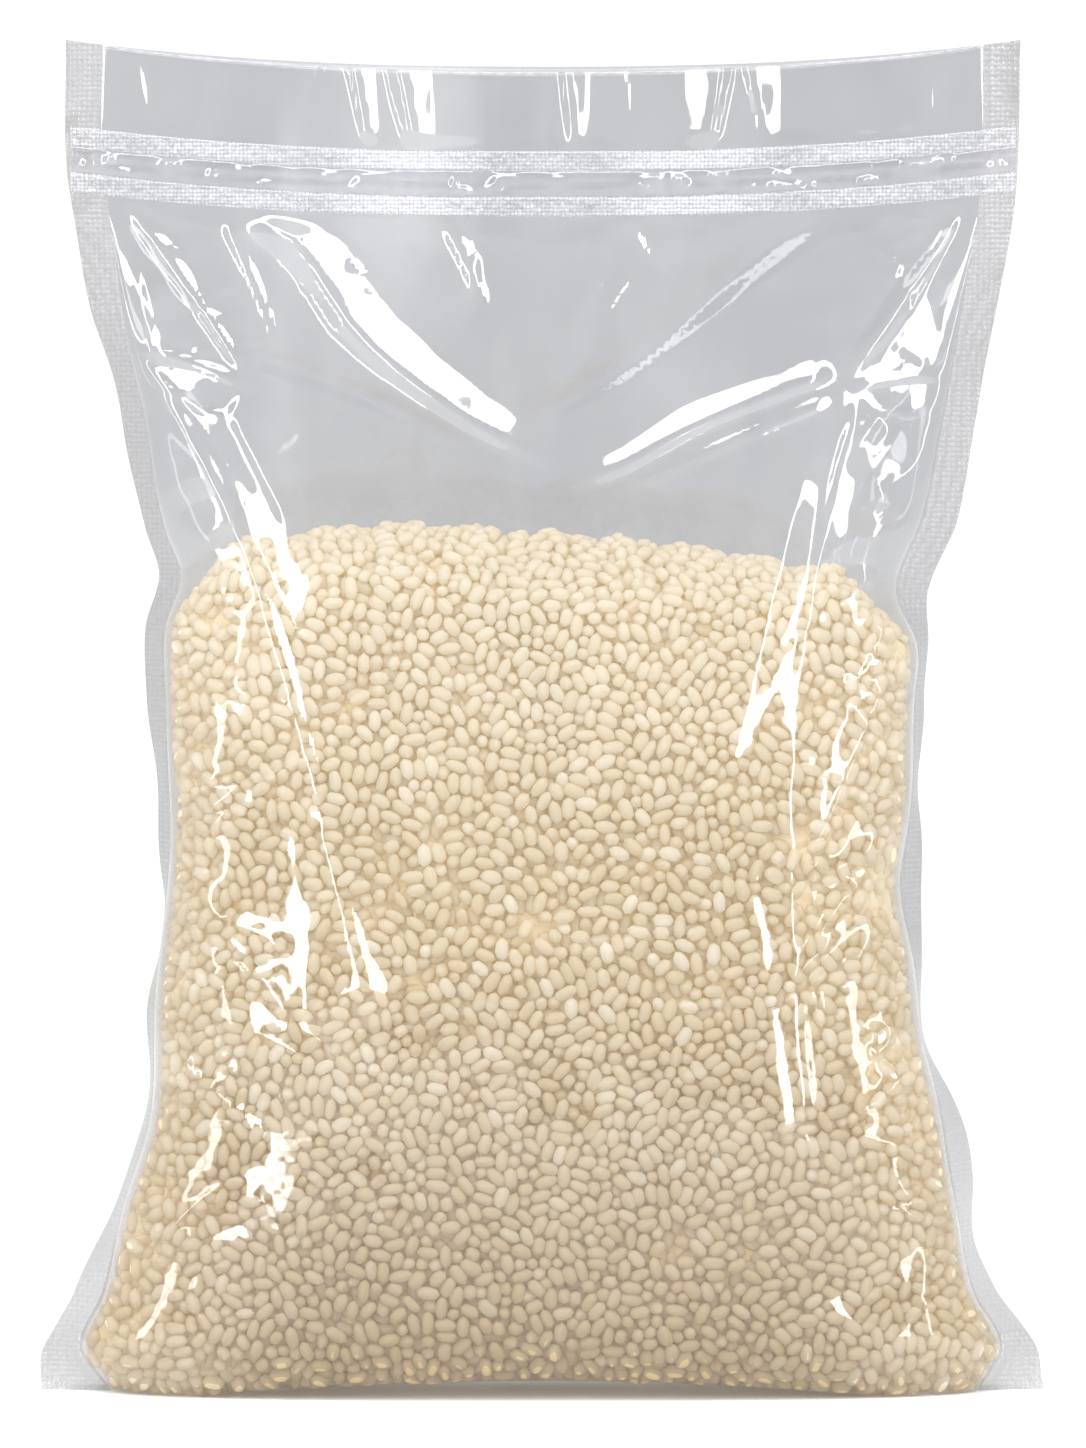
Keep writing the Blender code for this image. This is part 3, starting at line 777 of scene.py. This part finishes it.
# ---- materials ---------------------------------------------------------------------------------
class Nodes:
    """Builds a material's nodes and links."""

    def __init__(self, name):
        self.material = bpy.data.materials.new(name)
        self.material.use_nodes = True
        self.tree = self.material.node_tree
        self.tree.nodes.clear()

    def add(self, kind, values=None, **settings):
        """A node with its settings, and its inputs set from values or linked from sockets."""
        node = self.tree.nodes.new(kind)
        for key, value in settings.items():
            setattr(node, key, value)
        for key, value in (values or {}).items():
            if isinstance(value, bpy.types.NodeSocket):
                self.tree.links.new(value, node.inputs[key])
            else:
                node.inputs[key].default_value = value
        return node

    def maths(self, operation, a, b=0.0):
        return self.add("ShaderNodeMath", {0: a, 1: b}, operation=operation).outputs[0]

    def mixed(self, share, first, second, blend="MIX"):
        """A colour that goes from the first to the second with share."""
        inputs = {0: share, 6: first, 7: second}
        return self.add("ShaderNodeMix", inputs, data_type="RGBA", blend_type=blend).outputs[2]

    def place(self, scale=(1, 1, 1)):
        """Object coordinates, stretched by scale."""
        coordinates = self.add("ShaderNodeTexCoord").outputs["Object"]
        return self.add("ShaderNodeMapping", {"Vector": coordinates, "Scale": scale}).outputs[0]

    def done(self, shader):
        self.add("ShaderNodeOutputMaterial", {"Surface": shader})
        return self.material


def gloss_share(nodes, least, most):
    """How much plastic reflects: least when looked at squarely, most at a glancing angle."""
    facing = nodes.add("ShaderNodeLayerWeight", {"Blend": 0.5}).outputs["Facing"]
    rise = nodes.maths("POWER", facing, 4.0)
    return nodes.maths("ADD", nodes.maths("MULTIPLY", rise, most - least), least)


def dotted(nodes, spacing):
    """Height of fine embossed dots, a little uneven in their spacing, from 0 to 1."""
    cells = nodes.add("ShaderNodeTexVoronoi", {
        "Vector": nodes.place(), "Scale": 1 / spacing, "Randomness": 0.25,
    }).outputs["Distance"]
    return nodes.add("ShaderNodeMapRange", {0: cells, 1: 0.75, 2: 0.15}).outputs[0]


def film_material():
    """Clear glossy film, a little grey and hazy, faintly uneven, with painted sheen at its sides."""
    nodes = Nodes("clear_film")
    broad = nodes.add("ShaderNodeTexNoise", {
        "Vector": nodes.place((1, 1, 0.6)), "Scale": 120.0, "Detail": 2.0, "Roughness": 0.45,
    }).outputs[0]
    pebbled = nodes.add("ShaderNodeTexNoise", {
        "Vector": nodes.place(), "Scale": 330.0, "Detail": 0.0,
    }).outputs[0]
    place = nodes.add("ShaderNodeSeparateXYZ", {0: nodes.place()}).outputs
    on_rice = nodes.add("ShaderNodeMapRange", {0: place["Z"], 1: ABOVE_RICE, 2: ON_RICE}).outputs[0]
    waves = nodes.add("ShaderNodeBump", {
        "Height": broad, "Strength": 0.10, "Distance": 0.0006,
    }).outputs[0]
    normal = nodes.add("ShaderNodeBump", {
        "Height": nodes.maths("MULTIPLY", pebbled, on_rice), "Strength": 0.12, "Distance": 0.0004,
        "Normal": waves,
    }).outputs[0]
    streaks = nodes.add("ShaderNodeTexNoise", {
        "Vector": nodes.place((1, 1, 0.22)), "Scale": 30.0, "Detail": 2.0, "Distortion": 0.8,
    }).outputs[0]
    stretched = nodes.add("ShaderNodeMapRange", {0: streaks, 1: 0.50, 2: 0.72}).outputs[0]
    loose = nodes.maths("MULTIPLY", stretched, nodes.maths("SUBTRACT", 1.0, on_rice))
    tint = nodes.mixed(loose, (0.682, 0.687, 0.702, 1), (0.79, 0.795, 0.81, 1))
    clear = nodes.add("ShaderNodeBsdfTransparent", {"Color": tint}).outputs[0]
    milky = nodes.add("ShaderNodeBsdfTranslucent", {"Color": (0.90, 0.91, 0.94, 1)}).outputs[0]
    clouds = nodes.add("ShaderNodeTexNoise", {
        "Vector": nodes.place((1, 1, 0.45)), "Scale": 34.0, "Detail": 3.0, "Distortion": 1.2,
    }).outputs[0]
    haze_and_sheen = nodes.add("ShaderNodeMapRange", {
        0: clouds, 1: 0.38, 2: 0.70, 3: 0.010, 4: 0.11,
    }).outputs[0]
    # painted sheen: the film is made milkier beside the seals, over the rice only
    side = nodes.add("ShaderNodeMapRange", {
        0: nodes.maths("ABSOLUTE", place["X"]), 1: 0.048, 2: 0.082, 3: 0.0, 4: 0.09,
    }, interpolation_type="SMOOTHSTEP").outputs[0]
    haze_and_sheen = nodes.maths("ADD", haze_and_sheen, nodes.maths("MULTIPLY", side, on_rice))
    body = nodes.add("ShaderNodeMixShader", {0: haze_and_sheen, 1: clear, 2: milky}).outputs[0]
    shine = nodes.add("ShaderNodeBsdfAnisotropic", {
        "Color": (1, 1, 1, 1), "Roughness": 0.045, "Normal": normal,
    }).outputs[0]
    share = gloss_share(nodes, 0.075, 1.0)
    return nodes.done(nodes.add("ShaderNodeMixShader", {0: share, 1: body, 2: shine}).outputs[0])


def welded(name, tint, milk, roughness, spacing, depth):
    """Embossed plastic: tint is how clear it is, milk how much of it is white."""
    nodes = Nodes(name)
    cloud = nodes.add("ShaderNodeTexNoise", {
        "Vector": nodes.place(), "Scale": 700.0, "Detail": 2.0,
    }).outputs[0]
    uneven = nodes.add("ShaderNodeBump", {
        "Height": cloud, "Strength": 0.3, "Distance": 0.0001,
    }).outputs[0]
    dots = dotted(nodes, spacing)
    normal = nodes.add("ShaderNodeBump", {
        "Height": dots, "Strength": 1.0, "Distance": depth, "Normal": uneven,
    }).outputs[0]
    clear = nodes.add("ShaderNodeBsdfTransparent", {
        "Color": (tint, tint, tint * 1.015, 1),
    }).outputs[0]
    milky = nodes.add("ShaderNodeBsdfDiffuse", {
        "Color": (0.84, 0.85, 0.88, 1), "Normal": normal,
    }).outputs[0]
    share = nodes.add("ShaderNodeMapRange", {0: dots, 3: 0.2 * milk, 4: 1.8 * milk}).outputs[0]
    body = nodes.add("ShaderNodeMixShader", {0: share, 1: clear, 2: milky}).outputs[0]
    shine = nodes.add("ShaderNodeBsdfAnisotropic", {
        "Color": (1, 1, 1, 1), "Roughness": roughness, "Normal": normal,
    }).outputs[0]
    gloss = gloss_share(nodes, 0.06, 0.40)
    return nodes.done(nodes.add("ShaderNodeMixShader", {0: gloss, 1: body, 2: shine}).outputs[0])


def low_shade(nodes, colour):
    """The same colour with painted shade: darker low down in the middle of the heap."""
    place = nodes.add("ShaderNodeSeparateXYZ", {0: nodes.place()}).outputs
    # painted shade: full at the floor, gone by 100 mm up, a quarter as strong at the sides
    low = nodes.add("ShaderNodeMapRange", {
        0: place["Z"], 1: 0.0, 2: 0.100, 3: 1.0, 4: 0.0,
    }, interpolation_type="SMOOTHSTEP").outputs[0]
    middle = nodes.add("ShaderNodeMapRange", {
        0: nodes.maths("ABSOLUTE", place["X"]), 1: 0.040, 2: 0.090, 3: 1.0, 4: 0.25,
    }, interpolation_type="SMOOTHSTEP").outputs[0]
    # the painted shade's colour, multiplied in
    deep = nodes.mixed(1.0, colour, (0.76, 0.67, 0.51, 1), "MULTIPLY")
    return nodes.mixed(nodes.maths("MULTIPLY", low, middle), colour, deep)


def painted_top_light(nodes, colour):
    """The same colour with painted light: paler towards the top of the heap."""
    height = nodes.add("ShaderNodeSeparateXYZ", {0: nodes.place()}).outputs["Z"]
    share = nodes.add("ShaderNodeMapRange", {
        0: height, 1: 0.095, 2: 0.175, 3: 0.0, 4: 0.75,
    }, interpolation_type="SMOOTHSTEP").outputs[0]
    # painted light: mixed towards pale cream from 95 mm up, by three quarters at 175 mm
    return nodes.mixed(share, colour, (0.90, 0.86, 0.76, 1))


def grain_material(kind, dull, bright, roughness):
    """Milled rice: each grain has its own tone, with a whiter cloudy part inside."""
    nodes = Nodes("rice_" + kind)
    tone = nodes.add("ShaderNodeNewGeometry").outputs["Random Per Island"]
    colour = nodes.mixed(tone, (*dull, 1), (*bright, 1))
    cloud = nodes.add("ShaderNodeTexNoise", {
        "Vector": nodes.place(), "Scale": 420.0, "Detail": 2.0, "Roughness": 0.5,
    }).outputs[0]
    patch = nodes.add("ShaderNodeMapRange", {0: cloud, 1: 0.52, 2: 0.74, 3: 0.0, 4: 0.30}).outputs[0]
    colour = nodes.mixed(patch, colour, (0.88, 0.83, 0.71, 1))
    # painted light towards the top, over painted shade low down in the middle
    colour = painted_top_light(nodes, low_shade(nodes, colour))
    fine = nodes.add("ShaderNodeTexNoise", {
        "Vector": nodes.place(), "Scale": 2600.0, "Detail": 2.0,
    }).outputs[0]
    normal = nodes.add("ShaderNodeBump", {
        "Height": fine, "Strength": 0.25, "Distance": 0.00008,
    }).outputs[0]
    surface = nodes.add("ShaderNodeBsdfPrincipled", {
        "Base Color": colour, "Roughness": roughness, "IOR": 1.42, "Normal": normal,
        # painted glow: the grains emit a little warm light
        "Emission Color": (0.98, 0.80, 0.52, 1), "Emission Strength": PAINTED_GLOW,
    }).outputs[0]
    glow = nodes.add("ShaderNodeBsdfTranslucent", {"Color": colour}).outputs[0]
    return nodes.done(nodes.add("ShaderNodeMixShader", {0: 0.56, 1: surface, 2: glow}).outputs[0])


def core_material():
    """The shaded grains deep between the outer ones."""
    nodes = Nodes("rice_core")
    cells = nodes.add("ShaderNodeTexVoronoi", {
        "Vector": nodes.place(), "Scale": 330.0,
    }).outputs["Distance"]
    colour = nodes.mixed(cells, (0.93, 0.79, 0.54, 1), (0.84, 0.68, 0.42, 1))
    colour = low_shade(nodes, colour)
    normal = nodes.add("ShaderNodeBump", {
        "Height": cells, "Strength": 0.9, "Distance": 0.0012,
    }, invert=True).outputs[0]
    shader = nodes.add("ShaderNodeBsdfPrincipled", {
        "Base Color": colour, "Roughness": 0.7, "Normal": normal,
    }).outputs[0]
    return nodes.done(shader)


def floor_material():
    nodes = Nodes("pale_floor")
    grain = nodes.add("ShaderNodeTexNoise", {"Vector": nodes.place(), "Scale": 30.0}).outputs[0]
    colour = nodes.mixed(grain, (0.94, 0.94, 0.94, 1), (0.97, 0.97, 0.97, 1))
    shader = nodes.add("ShaderNodeBsdfPrincipled", {
        "Base Color": colour, "Roughness": 0.8, "Emission Color": (1, 1, 1, 1),
        "Emission Strength": 0.08,
    }).outputs[0]
    return nodes.done(shader)


# ---- stage -------------------------------------------------------------------------------------
def add_floor():
    """A plain pale floor."""
    mesh = bpy.data.meshes.new("floor")
    corners = [(x * FLOOR_HALF, y * FLOOR_HALF, 0) for x, y in ((-1, -1), (1, -1), (1, 1), (-1, 1))]
    mesh.from_pydata(corners, [], [(0, 1, 2, 3)])
    mesh.materials.append(floor_material())
    floor = bpy.data.objects.new("floor", mesh)
    bpy.context.scene.collection.objects.link(floor)


def aim(obj, place, target):
    """Puts obj at place, looking at target."""
    obj.location = place
    direction = np.array(target, float) - np.array(place, float)
    flat = math.hypot(direction[0], direction[1])
    obj.rotation_euler = (
        math.pi / 2 + math.atan2(direction[2], flat), 0, math.atan2(-direction[0], direction[1]),
    )


def add_softbox(name, azimuth, elevation, distance, width, height, radiance):
    """A soft area light at an angle from the front, with its brightness as the eye would see it."""
    light = bpy.data.lights.new(name, "AREA")
    light.shape = "RECTANGLE"
    light.size, light.size_y = width, height
    light.energy = radiance * math.pi * width * height
    softbox = bpy.data.objects.new(name, light)
    bpy.context.scene.collection.objects.link(softbox)
    a, e = math.radians(azimuth), math.radians(elevation)
    place = (
        distance * math.sin(a) * math.cos(e),
        -distance * math.cos(a) * math.cos(e),
        LIT_POINT[2] + distance * math.sin(e),
    )
    aim(softbox, place, LIT_POINT)


def add_surround():
    """A white surround that is darker straight up and down, so that the film has depth."""
    world = bpy.data.worlds.new("surround")
    world.use_nodes = True
    nodes = world.node_tree.nodes
    direction = nodes.new("ShaderNodeTexCoord").outputs["Generated"]
    split = nodes.new("ShaderNodeSeparateXYZ")
    steep = nodes.new("ShaderNodeMath")
    steep.operation = "ABSOLUTE"
    shade = nodes.new("ShaderNodeMapRange")
    shade.interpolation_type = "SMOOTHSTEP"
    settings = (LEVEL_STEEPNESS, HIGH_STEEPNESS, LEVEL_STRENGTH, HIGH_STRENGTH)
    for key, value in enumerate(settings, 1):
        shade.inputs[key].default_value = value
    link = world.node_tree.links.new
    link(direction, split.inputs[0])
    link(split.outputs["Z"], steep.inputs[0])
    link(steep.outputs[0], shade.inputs[0])
    link(shade.outputs[0], nodes["Background"].inputs["Strength"])
    nodes["Background"].inputs["Color"].default_value = (1, 1, 1, 1)
    bpy.context.scene.world = world


def add_lights():
    """Upright strips that the film mirrors, a bar above the viewer, and a large box overhead."""
    for name, setting in SOFTBOXES.items():
        add_softbox(name, *setting)
    add_surround()
    bpy.context.scene.view_settings.view_transform = "Standard"


def add_camera():
    """A long lens, just above level, with the whole pouch in an upright frame."""
    camera_data = bpy.data.cameras.new("camera")
    camera_data.sensor_fit = "VERTICAL"
    camera_data.sensor_height = SENSOR_HEIGHT
    camera_data.lens = SENSOR_HEIGHT * CAMERA_DISTANCE / VIEW_HEIGHT
    camera = bpy.data.objects.new("camera", camera_data)
    bpy.context.scene.collection.objects.link(camera)
    e = math.radians(CAMERA_ELEVATION)
    place = (0, -CAMERA_DISTANCE * math.cos(e), CAMERA_TARGET + CAMERA_DISTANCE * math.sin(e))
    aim(camera, place, (0, 0, CAMERA_TARGET))
    bpy.context.scene.camera = camera


def main():
    rng = np.random.default_rng(SEED)
    film = film_material()
    weld, bands, track, edge = [welded(name, *values) for name, values in WELDED.items()]
    for face, name, columns, rows in ((-1, "film_front", 215, 270), (1, "film_back", 130, 170)):
        film_sheet(face, name, columns, rows, film, edge).visible_shadow = False
    for side, name in ((-1, "seal_left"), (1, "seal_right")):
        seal_sheet(side, name, weld).visible_shadow = False
    for face, name in ((-1, "zip_front"), (1, "zip_back")):
        add_zip(face, name, bands, track)
    field = rice_field()
    add_core(field, core_material())
    materials = {kind: grain_material(kind, *tones) for kind, tones in GRAIN_TONES.items()}
    add_grains(*packed_grains(field, rng), rng, materials)
    add_floor()
    add_lights()
    add_camera()


main()
